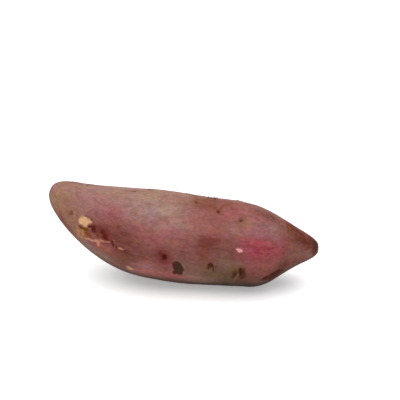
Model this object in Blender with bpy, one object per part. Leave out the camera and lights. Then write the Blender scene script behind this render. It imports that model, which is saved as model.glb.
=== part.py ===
"""A purple sweet potato lying on its belly, modelled as the one solid that it grew as.

The long axis runs along X. The blunt stem end is at -X and rises off the surface,
and the thin root tip is at +X. The side that faces the viewer is at -Y. Z is up, the
belly's flat spot is at z = 0, and the origin is under the middle of the whole root.
Lengths are in millimetres until the last step.
"""

import math
import random
from bisect import bisect
from collections import namedtuple

import bmesh
import bpy
import numpy as np
from mathutils import Vector, noise

MM = 0.001

# Stations along the root: x along it, y and z of its middle line, and the half width
# and half height of the upright section there. The root's own weight has flattened the
# belly where a section reaches below the surface.
Station = namedtuple("Station", "x y z half_width half_height")
STATIONS = (
    Station(-86.9, 2.0, 53.6, 0.0, 0.0),
    Station(-84.8, 1.9, 52.6, 7.4, 7.3),
    Station(-80.4, 1.8, 49.8, 12.3, 12.1),
    Station(-73.9, 1.5, 45.8, 16.4, 16.2),
    Station(-64.9, 1.1, 40.7, 20.2, 19.9),
    Station(-53.4, 0.6, 36.2, 23.7, 23.3),
    Station(-40.6, 0.3, 32.8, 26.6, 26.2),
    Station(-21.4, 0.0, 29.8, 29.0, 28.6),
    Station(-2.0, 0.0, 28.1, 29.3, 28.9),
    Station(18.0, -0.2, 27.0, 28.2, 27.8),
    Station(36.0, -1.0, 26.1, 27.3, 26.9),
    Station(46.4, -1.7, 25.5, 26.1, 25.8),
    Station(54.1, -1.5, 25.4, 23.1, 22.9),
    Station(63.0, -0.2, 25.7, 17.6, 17.4),
    Station(72.6, 0.8, 25.6, 11.6, 11.4),
    Station(79.5, 1.3, 24.9, 7.4, 7.2),
    Station(84.0, 1.4, 24.6, 4.5, 4.4),
    Station(85.6, 1.5, 24.6, 0.0, 0.0),
)

RINGS = 64
SIDES = 46
END_SHARE = 0.15  # share of the rings that draw together at each rounded end

# Soft waves of the whole surface.
SWELL_HEIGHT = 0.8
SWELL_SPACING = 30.0
LOBES = 5
LOBE_HEIGHT = 0.35
LOBE_WANDER = 31.0
BELLY_FADE = 5.0  # the waves die out over this height above the surface

# A hollow in the skin. Along is its distance from the stem end and clock its place
# round the root, in degrees: 0 faces the viewer, 90 is on top and -90 underneath.
# Length and width are half sizes, along the root and round it, and turn slants it, in
# degrees. Edge is 2 for a soft dimple, and more for a crisp one.
Hollow = namedtuple("Hollow", "along clock length width turn depth edge")

# Eyes, where thin side roots grew, from the stem end to the tip.
FRONT_EYES = (
    Hollow(20.2, 22, 1.5, 1.7, 0, 0.9, 2),
    Hollow(60.0, 90, 1.8, 1.2, 0, 0.7, 2),
    Hollow(68.9, -5, 1.3, 1.1, 0, 0.4, 2),
    Hollow(82.3, 1, 1.9, 2.2, 0, 1.6, 2),
    Hollow(91.1, -16, 3.2, 3.7, 0, 1.0, 4),
    Hollow(100.6, 79, 1.2, 1.3, 0, 0.7, 2),
    Hollow(111.5, -9, 1.6, 2.4, 0, 1.1, 2),
    Hollow(114.7, 68, 1.1, 1.2, 0, 0.9, 2),
    Hollow(128.5, 61, 1.3, 1.3, 0, 0.9, 2),
    Hollow(129.0, -14, 2.2, 2.0, 0, 1.3, 2),
    Hollow(158.3, 78, 1.0, 2.2, 0, 0.6, 2),
)

# Where the skin was scraped or split as the root was dug up.
SCRAPES = (
    Hollow(30.5, 20, 4.3, 3.2, 10, 0.7, 5),
    Hollow(28.0, 4, 3.0, 1.6, 30, 0.9, 3),
    Hollow(43.4, 12, 6.0, 3.0, -12, 1.2, 2),
    Hollow(55.4, 2, 2.0, 1.0, 0, 0.5, 4),
    Hollow(59.2, -32, 3.4, 2.0, 0, 0.6, 4),
    Hollow(129.2, 20, 2.2, 1.3, -15, 0.6, 4),
    Hollow(149.3, -34, 5.5, 1.9, 15, 0.8, 2),
)

# Eyes on the far side and underneath, in rows that run along the root.
HIDDEN_ROWS = (105, 142, 185, 226, 255)  # clock of each row
HIDDEN_SPACING = 36.0
HIDDEN_SPACING_RANGE = (0.75, 1.35)  # share of the spacing
HIDDEN_CLOCK_DRIFT = 11
HIDDEN_ENDS = (14, 18)  # no hidden eye is nearer than this to the stem end or the tip
HIDDEN_LENGTH_RANGE = (1.4, 2.1)
HIDDEN_WIDTH_RANGE = (0.8, 1.3)  # share of the length
HIDDEN_DEPTH_RANGE = (0.4, 0.6)  # share of the length
HIDDEN_SEED = 11

LIP_HEIGHT = 0.22  # rim round a hollow, as a share of its depth
LIP_PLACE = 1.5  # where the rim is highest, in sizes of the hollow
LIP_WIDTH = 0.6
HOLLOW_REACH = 3.5  # a hollow shapes the skin out to this many times its own size

# The scar where the stem was cut, and the torn tip: a low rim round a small pit.
EndScar = namedtuple("EndScar", "radius rim pit")
STEM_SCAR = EndScar(4.2, 0.5, 1.1)
TIP_SCAR = EndScar(2.8, 0.25, 0.7)
SCAR_RIM_WIDTH = 0.4  # share of the scar's radius

SPLIT_REACHES = (2.3, 1.7)  # faces this near a hollow, in its sizes, are split, then split again
TINY_STEP = 0.01  # millimetres along the root, or radians round it, to find a direction

SKIN_COLOUR = (0.36, 0.16, 0.15, 1.0)
SKIN_ROUGHNESS = 0.62


def station_distances():
    """Distance of each station from the stem end, along the middle line."""
    middle = [Vector((s.x, s.y, s.z)) for s in STATIONS]
    steps = [(b - a).length for a, b in zip(middle, middle[1:])]
    return [sum(steps[:i]) for i in range(len(middle))]


KNOTS = station_distances()
LENGTH = KNOTS[-1]


def smooth_track(values):
    """A function of the distance along the root that runs smoothly through the stations' values."""
    slopes = np.gradient(values, KNOTS).tolist()

    def read(along):
        i = min(max(bisect(KNOTS, along) - 1, 0), len(KNOTS) - 2)
        span = KNOTS[i + 1] - KNOTS[i]
        t = (along - KNOTS[i]) / span
        return (
            values[i] * (1 + 2 * t) * (1 - t) ** 2
            + slopes[i] * span * t * (1 - t) ** 2
            + values[i + 1] * t**2 * (3 - 2 * t)
            + slopes[i + 1] * span * t**2 * (t - 1)
        )

    return read


MIDDLE_TRACKS = [smooth_track([s[axis] for s in STATIONS]) for axis in range(3)]
WIDTH_SQUARED = smooth_track([s.half_width**2 for s in STATIONS])
HEIGHT_SQUARED = smooth_track([s.half_height**2 for s in STATIONS])


def middle_point(along):
    """Point of the middle line at this distance from the stem end."""
    return Vector([track(along) for track in MIDDLE_TRACKS])


def half_sizes(along):
    """Half width and half height there. Their squares run smoothly, so the ends close round."""
    return [math.sqrt(max(0.0, track(along))) for track in (WIDTH_SQUARED, HEIGHT_SQUARED)]


def plain_surface(along, clock):
    """Point of the root at this distance and angle, before its waves and hollows."""
    half_width, half_height = half_sizes(along)
    point = middle_point(along)
    point.y -= half_width * math.cos(clock)
    point.z += half_height * math.sin(clock)
    return point


def ring_distance(share):
    """Distance of the ring at this share of the rings. They draw together at both ends."""
    if share > 0.5:
        return LENGTH - ring_distance(1 - share)
    if share < END_SHARE:
        return LENGTH * share**2 / (2 * END_SHARE * (1 - END_SHARE))
    return LENGTH * (share - END_SHARE / 2) / (1 - END_SHARE)


def hidden_eyes():
    """Eyes in loose rows on the far side and underneath."""
    draw = random.Random(HIDDEN_SEED)
    eyes = []
    for row in HIDDEN_ROWS:
        along = HIDDEN_ENDS[0] + draw.uniform(0, HIDDEN_SPACING)
        while along < LENGTH - HIDDEN_ENDS[1]:
            clock = row + draw.uniform(-HIDDEN_CLOCK_DRIFT, HIDDEN_CLOCK_DRIFT)
            length = draw.uniform(*HIDDEN_LENGTH_RANGE)
            width = length * draw.uniform(*HIDDEN_WIDTH_RANGE)
            depth = length * draw.uniform(*HIDDEN_DEPTH_RANGE)
            eyes.append(Hollow(along, clock, length, width, 0, depth, 2))
            along += HIDDEN_SPACING * draw.uniform(*HIDDEN_SPACING_RANGE)
    return eyes


# A hollow on the root: its middle, with the directions ahead to the tip and round the root.
PlacedHollow = namedtuple("PlacedHollow", "shape middle ahead around")


def place_hollow(hollow):
    clock = math.radians(hollow.clock)
    middle = plain_surface(hollow.along, clock)
    ahead = (plain_surface(hollow.along + TINY_STEP, clock) - middle).normalized()
    around = plain_surface(hollow.along, clock + TINY_STEP) - middle
    around -= ahead * around.dot(ahead)
    return PlacedHollow(hollow, middle, ahead, around.normalized())


HOLLOWS = [place_hollow(hollow) for hollow in (*FRONT_EYES, *SCRAPES, *hidden_eyes())]


def distance_in(hollow, point):
    """Distance from the hollow's middle, where 1 is its edge."""
    shape = hollow.shape
    offset = point - hollow.middle
    if offset.length > HOLLOW_REACH * max(shape.length, shape.width):
        return HOLLOW_REACH
    ahead, around = offset.dot(hollow.ahead), offset.dot(hollow.around)
    slant = math.radians(shape.turn)
    u = ahead * math.cos(slant) + around * math.sin(slant)
    v = around * math.cos(slant) - ahead * math.sin(slant)
    return math.hypot(u / shape.length, v / shape.width)


def hollow_relief(hollow, point):
    """Height that a hollow gives the surface: a dip inside a low rim."""
    far = distance_in(hollow, point)
    if far >= HOLLOW_REACH:
        return 0.0
    rim = LIP_HEIGHT * math.exp(-(((far - LIP_PLACE) / LIP_WIDTH) ** 2))
    return hollow.shape.depth * (rim - math.exp(-(far**hollow.shape.edge)))


def wave_relief(along, clock, point):
    """Soft lumps, and shallow lobes that run along the root and wander a little."""
    lump = SWELL_HEIGHT * noise.noise(point / SWELL_SPACING)
    lobe = LOBE_HEIGHT * math.cos(LOBES * clock + math.sin(along / LOBE_WANDER))
    belly = min(1.0, max(0.0, point.z / BELLY_FADE))
    ends = math.sin(math.pi * along / LENGTH)
    return (lump + lobe * ends) * belly


def end_relief(scar, from_end, radius):
    """Rim and pit of a scar at one end of the root."""
    if from_end > 2 * scar.radius:
        return 0.0
    far = radius / scar.radius
    rim = scar.rim * math.exp(-(((far - 1) / SCAR_RIM_WIDTH) ** 2))
    return rim - scar.pit * math.exp(-((far * 2) ** 2))


def relief(along, clock, point):
    """Height of the finished skin over the plain surface."""
    radius = max(half_sizes(along))
    return (
        wave_relief(along, clock, point)
        + sum(hollow_relief(hollow, point) for hollow in HOLLOWS)
        + end_relief(STEM_SCAR, along, radius)
        + end_relief(TIP_SCAR, LENGTH - along, radius)
    )


def unrolled_mesh():
    """The skin before it is shaped: a closed tube of radius 1, x the distance along the root."""
    bm = bmesh.new()
    rings = []
    for r in range(1, RINGS):
        x = ring_distance(r / RINGS)
        turn = [math.tau * k / SIDES for k in range(SIDES)]
        rings.append([bm.verts.new((x, -math.cos(a), math.sin(a))) for a in turn])
    for r, (near, far) in enumerate(zip(rings, rings[1:])):
        for k in range(SIDES):
            n = (k + 1) % SIDES
            if (r + k) % 2:  # the diagonals alternate, so that no slant shows
                bm.faces.new((near[k], far[k], far[n]))
                bm.faces.new((near[k], far[n], near[n]))
            else:
                bm.faces.new((near[k], far[k], near[n]))
                bm.faces.new((near[n], far[k], far[n]))
    for ring, x in ((rings[0], 0.0), (rings[-1], LENGTH)):
        pole = bm.verts.new((x, 0, 0))
        for k in range(SIDES):
            bm.faces.new((ring[k], ring[(k + 1) % SIDES], pole))
    bmesh.ops.recalc_face_normals(bm, faces=bm.faces)
    return bm


def place_on_root(point):
    """Distance along the root and clock, in radians, of a point of the unrolled mesh."""
    return point.x, math.atan2(point.z, -point.y)


def split_round_hollows(bm):
    """Splits faces at the hollows, so that small forms have faces enough."""
    for reach in SPLIT_REACHES:
        edges = []
        for edge in bm.edges:
            middle = (edge.verts[0].co + edge.verts[1].co) / 2
            point = plain_surface(*place_on_root(middle))
            if any(distance_in(hollow, point) < reach for hollow in HOLLOWS):
                edges.append(edge)
        bmesh.ops.subdivide_edges(bm, edges=edges, cuts=1)
        bmesh.ops.triangulate(bm, faces=bm.faces)


def shape_skin(bm):
    """Lays the unrolled mesh on the root, then raises its relief and flattens its belly."""
    places = {v: place_on_root(v.co) for v in bm.verts}
    for v, place in places.items():
        v.co = plain_surface(*place)
    bmesh.ops.beautify_fill(bm, faces=bm.faces, edges=bm.edges, method="AREA")
    bm.normal_update()
    heights = {v: relief(*place, v.co) for v, place in places.items()}
    for v, height in heights.items():
        v.co += v.normal * height
        v.co.z = max(0.0, v.co.z)


def centre_on_origin(bm):
    """Slides the root so that the origin is under the middle of its box."""
    for axis in range(2):
        values = [v.co[axis] for v in bm.verts]
        middle = (min(values) + max(values)) / 2
        for v in bm.verts:
            v.co[axis] -= middle


def skin_material():
    material = bpy.data.materials.new("purple_skin")
    material.use_nodes = True
    shader = material.node_tree.nodes["Principled BSDF"]
    shader.inputs["Base Color"].default_value = SKIN_COLOUR
    shader.inputs["Roughness"].default_value = SKIN_ROUGHNESS
    shader.inputs["Metallic"].default_value = 0.0
    material.diffuse_color = SKIN_COLOUR
    return material


def make_tuber():
    bm = unrolled_mesh()
    split_round_hollows(bm)
    shape_skin(bm)
    centre_on_origin(bm)
    bmesh.ops.scale(bm, vec=(MM, MM, MM), verts=bm.verts)
    mesh = bpy.data.meshes.new("tuber")
    bm.to_mesh(mesh)
    bm.free()
    mesh.materials.append(skin_material())
    mesh.shade_smooth()
    tuber = bpy.data.objects.new("tuber", mesh)
    bpy.context.scene.collection.objects.link(tuber)
    return tuber


def clear_scene():
    for obj in list(bpy.data.objects):
        bpy.data.objects.remove(obj)


clear_scene()
make_tuber()
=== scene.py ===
"""Looks of a purple sweet potato: its skin, with eyes, scrapes and stains, and its root hairs.

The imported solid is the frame. Its form is measured from sections cut through it, and the
skin is a finer grid over that form, with relief and layers of colour. Work on the skin is
in millimetres, and the finished meshes are in metres.

A place on the skin is given by x, along the root from the stem end at -X to the tip at
+X, and by clock, in degrees round the root: 0 faces the viewer, 90 is on top and -90
underneath.
"""

import math
import random
from collections import namedtuple
from functools import partial

import bmesh
import bpy
import numpy as np
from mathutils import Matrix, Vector, noise


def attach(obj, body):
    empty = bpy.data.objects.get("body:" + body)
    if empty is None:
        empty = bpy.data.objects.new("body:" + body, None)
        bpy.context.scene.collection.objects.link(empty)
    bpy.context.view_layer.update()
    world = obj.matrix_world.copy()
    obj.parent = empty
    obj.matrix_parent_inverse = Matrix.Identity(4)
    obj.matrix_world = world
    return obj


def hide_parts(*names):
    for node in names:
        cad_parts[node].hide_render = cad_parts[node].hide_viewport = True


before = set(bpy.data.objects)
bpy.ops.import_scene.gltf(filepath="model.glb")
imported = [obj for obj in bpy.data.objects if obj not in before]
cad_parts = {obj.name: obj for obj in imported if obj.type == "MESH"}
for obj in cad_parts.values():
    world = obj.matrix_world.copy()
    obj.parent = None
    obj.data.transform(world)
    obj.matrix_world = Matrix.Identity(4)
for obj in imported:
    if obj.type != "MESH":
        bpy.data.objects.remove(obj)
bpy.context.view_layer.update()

MM = 0.001
NODE = "tuber"

# The camera, which sees the root as the photograph does.
CAMERA_AZIMUTH = 6.0
CAMERA_ELEVATION = 25.0
CAMERA_DISTANCE = 0.7
AIM_HEIGHT = 0.028  # of the point over the origin that the camera is placed from
AIM_PIXEL = (183.5, 238.1)  # where that point is in the picture
PICTURE_SIZE = 400
METRES_PER_PIXEL = 0.00064  # at that point
SENSOR_WIDTH = 36.0

SKY_STRENGTH = 0.585
LAMP_STRENGTH = 2.7
LAMP_FROM = (-0.2, 0.12, 1.0)
LAMP_ANGLE = 90  # degrees that the soft lamp spans
FLOOR_GLOW = 0.3  # light from under the white floor, which takes the edge off the shadow
FLOOR_SIZE = 6.0
FLOOR_COLOUR = (245, 245, 245)

# The grid over the form.
RINGS = 224
SIDES = 210
CLOCKS = np.arange(SIDES) * 360 / SIDES
END_SHARE = 0.1  # share of the rings that draw together at each end
MIDDLE_REACH = 5  # rings that the middle line is smoothed over
FILL_ROUNDS = 6
FILL_REACH = 6  # steps of the blur that fills the solid's hollows
FAIR_REACH = 2.5  # steps of the blur that smooths its facets away
SPOT_STEP = 0.7  # mm along the root, each way, that a spot's direction is measured over
SPOT_TURN = 2  # degrees round it
FINE_MARGINS = (1.2, 0.2)  # mm round the marks where the grid is split once and again
EYE_FINE = 1.7  # half sizes that count as the eye there
PATCH_FINE = 1.2  # mm round a patch's corners
STROKE_FINE = 1.5  # widths of a stroke
STROKE_STEPS = 4  # places on a stroke for each of its corners

# Broad unevenness of the root: size and height in mm.
SWELLS = ((26.0, 0.35), (9.0, 0.12))
NOISE_SHIFT = (17.3, -9.1, 5.7)  # how far apart the noises of two seeds are
# A low rise of the back: its place, its half sizes in mm and degrees, and its height in mm.
RISE_PLACE = (-22.0, 102.0)
RISE_SIZE = (22.0, 38.0)
RISE_HEIGHT = 0.85

# Colours as they look, from 0 to 255.
ROSE = (140, 84, 80)
WINE = (120, 64, 62)
# Painted shade: the dark band low on the underside, where the root meets the floor.
EDGE = (56, 40, 31)
SPECK = (100, 46, 40)
MAGENTA = (160, 73, 84)
MAGENTA_DEEP = (128, 38, 47)
HAIR_DRY = (156, 120, 92)
HAIR_BROWN = (104, 70, 50)

# Shades of whole skin in the order that they are laid: layer, colour, and how far its
# strength wanders with the blotches, or for those in STREAKED with the streaks.
SHADES = (
    # Under: darker towards the bottom, partly painted shade and partly the browner side that lay
    # in the soil.
    ("under", (98, 58, 50), 0.3),
    # Dust: a dusty tan, which on the up-facing skin of the stem half is also painted light from
    # above.
    ("dust_and_light", (147, 107, 97), 0.35),
    ("mauve", (148, 94, 98), 0.45),
    ("pink", (156, 84, 80), 0.4),
    ("grey", (152, 116, 107), 0.45),
    ("tan", (142, 100, 80), 0.25),
    ("khaki", (140, 110, 80), 0.35),
    ("olive", (90, 72, 48), 0.4),
    ("ochre", (116, 64, 42), 0.4),
    ("brown", (94, 44, 34), 0.6),
)
STREAKED = ("ochre", "brown")
EDGE_WANDER = 0.25
MAGENTA_WANDER = 0.45
MAGENTA_STREAKS = 0.4  # share of the streaks in that, and the blotches have the rest
# Marks in the order that they are laid: layer, its two colours, how far its edge is broken,
# and between which values of the layer the edge lies.
MARKS = (
    ("wine", (106, 45, 39), (106, 45, 39), 0.5, 0.0, 1.0),
    ("red", (82, 26, 19), (82, 26, 19), 0.4, 0.05, 1.0),
    ("rust", (92, 44, 28), (138, 78, 48), 0.6, 0.1, 0.9),
    ("umber", (66, 31, 18), (66, 31, 18), 0.4, 0.05, 1.0),
    ("moss", (104, 62, 14), (104, 62, 14), 0.5, 0.1, 0.9),
    ("straw", (130, 84, 54), (170, 122, 82), 0.5, 0.1, 0.9),
    ("torn", (156, 96, 76), (188, 136, 114), 0.4, 0.1, 0.9),
    ("flesh", (182, 138, 102), (208, 168, 124), 0.4, 0.1, 0.9),
    ("scab", (42, 25, 14), (70, 45, 29), 0.45, 0.35, 0.95),
    ("maroon", (66, 14, 7), (66, 14, 7), 0.4, 0.05, 1.0),
    ("nick", (192, 108, 106), (226, 168, 166), 0.2, 0.1, 1.0),
)
MARK_START = 0.15  # value of a mark's layer from which its broken edge shows fully
LAYERS = ("edge", "magenta") + tuple(kind[0] for kind in SHADES + MARKS)

# Textures of the skin: sizes in metres round the root and along it, seed, and then detail,
# roughness and bend where they aren't the usual.
TEXTURES = {
    "broad": (0.014, 0.03, 1),
    "mottle": (0.0035, 0.006, 2, 3.0),
    "blotches": (0.0045, 0.008, 3, 3.0),
    "warmth": (0.005, 0.009, 4, 0.5),
    "blush": (0.0055, 0.01, 5, 0.5),
    "flecks": (0.0015, 0.0022, 6),
    "threads": (0.0006, 0.003, 7),
    "waves": (0.0011, 0.005, 8, 3.0, 0.5, 0.8),
    "grain": (0.0006, 0.0008, 9, 3.0, 0.6),
    "streaks": (0.002, 0.01, 10, 1.0, 0.4, 0.7),
}
TEXTURE_RANGE = (0.28, 0.72)  # part of the noise that is spread from 0 to 1
TEXTURE_SHIFT = (3.7, 1.9, 5.3)  # how far apart the textures of two seeds are
# The cloth of the skin: how much of each texture is in it, and its range.
CLOTH = {"flecks": 0.38, "mottle": 0.38, "threads": 0.18, "grain": 0.06}
CLOTH_RANGE = (0.2, 0.8)
# Factors that every shade wanders between: in warmth, in redness and with the cloth.
COOL, WARM = (0.98, 0.97, 1.07, 1.0), (1.02, 1.03, 0.92, 1.0)
PALE, RED = (0.98, 1.06, 1.05, 1.0), (1.02, 0.92, 0.94, 1.0)
DARK, LIGHT = (0.79, 0.85, 0.845, 1.0), (1.115, 1.255, 1.24, 1.0)
SPECKLES = 240.0  # cells in a metre, with at most one speck in each
SPECKLE_EDGE = (0.22, 0.08)  # how far from its middle a speck fades out and is full, in cells
SPECKLE_MOTTLE = (0.55, 0.8)  # values of the mottle between which specks appear
SPECKLE_STRENGTH = 0.35
BUMP_STRENGTH = 0.5
BUMP_HEIGHT = 0.0004
ROUGHNESS = 0.5
ROUGHNESS_MOTTLE = 0.2
SHINE = 0.06

# Shades that follow how far the skin faces up, from 1 on top to -1 underneath, painted into the
# colour. Under darkens the lower side: partly painted shade, partly the browner side that lay
# in the soil. Edge is a band of painted shade low on the sides, the contact shadow by the
# floor, and less dark straight underneath. The last lightens the up-facing skin of the stem
# half: dust, with painted light from above. A layer adds up its parts: strength, between which
# facings it grows, and between which places along the root in mm.
FACED = {
    "under": ((0.72, (0.4, -0.5)),),
    "edge": (
        (0.2, (-0.1, -0.5), (0, 25)),
        (0.3, (-0.3, -0.7), (15, 35)),
        (0.9, (-0.45, -0.85)),
        (-0.45, (-0.8, -1)),
    ),
    "dust_and_light": ((1.0, (0.5, 0.95), (20, -20)),),
}

# An eye is a hollow. Length and width are its half sizes along the root and round it, and
# turn slants it, in degrees. Dark is the strength of its core, whose layer comes last, and
# halo that of the stain round it.
Eye = namedtuple("Eye", "x clock length width turn depth dark halo core")
EYES = (
    Eye(-68.8, 20.6, 1.2, 1.9, -21, 0.7, 0.5, 0.1, "umber"),
    Eye(-61.8, 96.8, 1.0, 0.8, 0, 0.3, 0.4, 0.2, "umber"),
    Eye(-31.4, 91.6, 1.9, 1.3, 0, 0.5, 0.5, 0.3, "umber"),
    Eye(-22.4, -3.5, 1.3, 1.2, 0, 0.4, 0.15, 0.5, "umber"),
    Eye(-8.5, 0.2, 2.2, 2.7, 15, 1.1, 1.0, 0.7, "maroon"),
    Eye(-10.8, 6.4, 1.4, 1.6, 0, 0.4, 0.55, 0.6, "umber"),
    Eye(9.1, 80.8, 1.4, 1.6, 0, 0.6, 0.5, 0.5, "umber"),
    Eye(23.3, 68.4, 1.1, 1.4, 10, 0.8, 0.85, 0.6, "umber"),
    Eye(37.6, 60.0, 1.3, 1.5, -20, 0.9, 0.65, 0.3, "umber"),
    Eye(66.6, 79.0, 0.8, 2.4, 0, 0.6, 0.3, 0.3, "umber"),
    Eye(-37.6, 29.8, 0.9, 1.4, 0, 0.3, 0.4, 0.4, "umber"),
    Eye(-24.6, 13.4, 0.6, 0.6, 0, 0.2, 0.4, 0.2, "umber"),
    Eye(3.6, 15.2, 0.5, 1.0, 0, 0.2, 0.4, 0.2, "umber"),
    Eye(-19.6, 66.0, 0.8, 0.6, 0, 0.2, 0.3, 0.2, "umber"),
    Eye(64.0, 26.1, 0.6, 0.6, 0, 0.2, 0.3, 0.4, "maroon"),
    Eye(64.2, 13.1, 0.6, 0.6, 0, 0.2, 0.3, 0.4, "maroon"),
    Eye(54.9, 15.5, 0.7, 0.6, 0, 0.2, 0.2, 0.4, "maroon"),
)

# Eyes on the far side, where the solid has hollows that no other mark names. Their sizes,
# turn, strengths and cores are drawn from these.
FAR_CLOCKS = (100, 300)
FAR_PLACES = (-74, 70)
FOUND_DEPTH = 0.3  # the least hollow that counts, in mm
FOUND_DEEPER = 1.3  # the eye's depth as a share of its hollow's
FOUND_SPACING = 7.0
FOUND_LENGTH = (1.1, 1.8)
FOUND_WIDTH = (0.8, 1.3)  # as a share of the length
FOUND_TURN = (-25, 25)
FOUND_DARK = (0.4, 0.9)
FOUND_HALO = (0.2, 0.7)
FOUND_CORES = ("umber", "umber", "maroon")
FOUND_SEED = 5

# The lip, edge and stain of an eye: places from its middle, in its half sizes.
LIP_HEIGHT = 0.22  # as a share of its depth
LIP_LEAN = 1.3  # the lip is higher on the stem side, the more so the smaller this is
LIP_PLACE = 1.5
LIP_WIDTH = 0.6
EYE_REACH = 3.5
EYE_EDGE = (1.35, 0.3)
EYE_WOBBLE = 0.35
HALO_REACH = 1.6
BLUSH_REACH = 2.6
BLUSH_SHARE = 0.4

# How the edges of marks are broken: sizes in mm of the broad and the fine noise, the share
# of the fine, and the seed.
EYE_ROUGH = (1.6, 0.6, 0.5, 0)
PATCH_ROUGH = (2.6, 0.8, 0.6, 0)
STROKE_ROUGH = (2.2, 0.7, 0.6, 2)

# A patch where the skin is torn or worn into another layer. Sink is how far it lies below
# the skin, and soft how wide its edge is, in mm.
Patch = namedtuple("Patch", "layer sink soft strength outline")
PATCH_WOBBLE = 0.6
PATCH_MARGIN = 4.0
SINK_EDGE = (-0.6, 1.4)  # where a patch begins to sink and ends, in widths of its edge
SINK_MORE = 0.3  # and how much further in it ends, in mm
PATCHES = (
    # The scrape by the stem end: a deep red hollow, then rusty fibres and bare flesh.
    Patch("wine", 0.45, 2.6, 0.85, (
        (-54.5, 22.5), (-51, 26), (-48, 27), (-45, 25), (-42.6, 21), (-40.8, 14), (-41, 7),
        (-45, 4.5), (-50.7, 3.8), (-53.5, 7), (-56, 13),
    )),
    Patch("red", 0.7, 1.6, 1.0, (
        (-48.9, 19.5), (-46.6, 18.5), (-44.8, 14), (-44.2, 7.6), (-46, 5), (-48, 6), (-48.2, 11),
        (-49.8, 15.5),
    )),
    Patch("red", 0.5, 1.3, 0.95, (
        (-55.8, 18.6), (-53.6, 21.2), (-52, 19.5), (-52, 13), (-53.4, 8.6), (-54.8, 9),
        (-55.4, 12.5),
    )),
    Patch("rust", 0.1, 1.2, 0.8, (
        (-51.5, 11), (-48.5, 12), (-47.8, 6.3), (-50.4, 3.5), (-52, 5.7),
    )),
    Patch("rust", 0.4, 1.0, 0.9, (
        (-60.2, 4), (-57.8, 8.6), (-55.4, 9.6), (-54.2, 5), (-54.8, -1), (-57.8, -3.6),
        (-60.6, -3.4),
    )),
    Patch("straw", 0.2, 1.2, 0.75, (
        (-65.2, 2.6), (-63.4, 0.4), (-60.8, 3), (-60, -3), (-60.4, -10), (-62, -16.5),
        (-64.2, -17), (-65.6, -8),
    )),
    Patch("flesh", 0.6, 1.4, 1.0, (
        (-63.4, 21.3), (-61.6, 25.8), (-59.6, 27.9), (-58, 27.6), (-56.2, 26.3), (-54.9, 24.6),
        (-55.9, 21.5), (-57.8, 17.3), (-58.3, 14), (-59.5, 10.6), (-60.4, 10.6), (-61.2, 12.4),
        (-62.8, 10.6), (-63.6, 13.4), (-63.9, 17.5),
    )),
    Patch("torn", -0.2, 1.0, 0.8, (
        (-52.8, 1.2), (-50, 3.6), (-47.6, 4.8), (-49, -1), (-50.3, -9), (-51.9, -4.4),
    )),
    Patch("torn", 0.2, 0.7, 0.85, (
        (-38.1, 3.8), (-36, 3), (-33.6, 1.6), (-34.2, -0.6), (-37, 0.4),
    )),
    # The bright nick.
    Patch("nick", 0.4, 0.9, 1.0, (
        (35.6, 19.6), (36.8, 21.2), (38.5, 21), (39.4, 18.7), (38.9, 16.6), (38, 16),
        (36.9, 17.1), (36, 18.2),
    )),
    # The low graze.
    Patch("flesh", 0.4, 1.1, 0.5, (
        (-34, -27.5), (-32.4, -24.5), (-30.4, -25), (-28, -29.5), (-30.4, -35), (-33, -33),
    )),
    Patch("moss", 0.1, 0.9, 0.5, ((-35.6, -29.5), (-34.4, -25), (-33, -28), (-33.6, -35))),
    # The dried scab, with a dark side.
    Patch("umber", 0.4, 0.7, 1.0, (
        (-3.3, -6), (-1.4, -3.2), (0.4, -3.2), (-0.8, -16.5), (-1.4, -25), (-3.2, -28),
        (-3.9, -23), (-2.9, -19), (-3.8, -13),
    )),
    Patch("scab", 0.5, 1.1, 1.0, (
        (-1.1, -7), (0.6, -4.4), (1.9, -5.8), (2.4, -8.6), (3.2, -11.1), (3.6, -16.2), (3, -22.6),
        (2.6, -26.4), (0.3, -28.4), (-1.6, -26.2), (-1.9, -21), (-2.3, -15.3), (-1.9, -9.5),
    )),
    # The arched scar's cap, the brown scar by the root hair, and the low gash.
    Patch("umber", 0.3, 0.7, 1.0, (
        (18.4, -4), (19.6, -1.4), (21.4, -3.4), (21.4, -8), (20.2, -9.6), (18.8, -8.6),
    )),
    Patch("ochre", 0.0, 2.4, 0.5, (
        (34.6, -7), (38.3, -4), (42, -7.4), (43.4, -14.2), (42.4, -26), (38.7, -34), (34, -32),
        (33, -22),
    )),
    Patch("umber", 0.2, 1.7, 0.85, (
        (37.2, -8), (39, -4.6), (41.4, -7.4), (42.2, -15), (41.6, -23), (39.8, -31), (37.4, -27),
        (37.8, -15),
    )),
    Patch("umber", 0.1, 1.7, 0.7, (
        (33.2, -15), (35.4, -10.5), (37.2, -15), (36.6, -24), (34.4, -31), (32.4, -25),
    )),
    Patch("umber", 0.3, 1.5, 0.9, (
        (50.6, -31.4), (53.4, -27), (56.6, -23.4), (60.2, -23), (64, -26), (65.4, -35),
        (62.6, -43), (59, -46.6), (55, -42),
    )),
)

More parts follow.
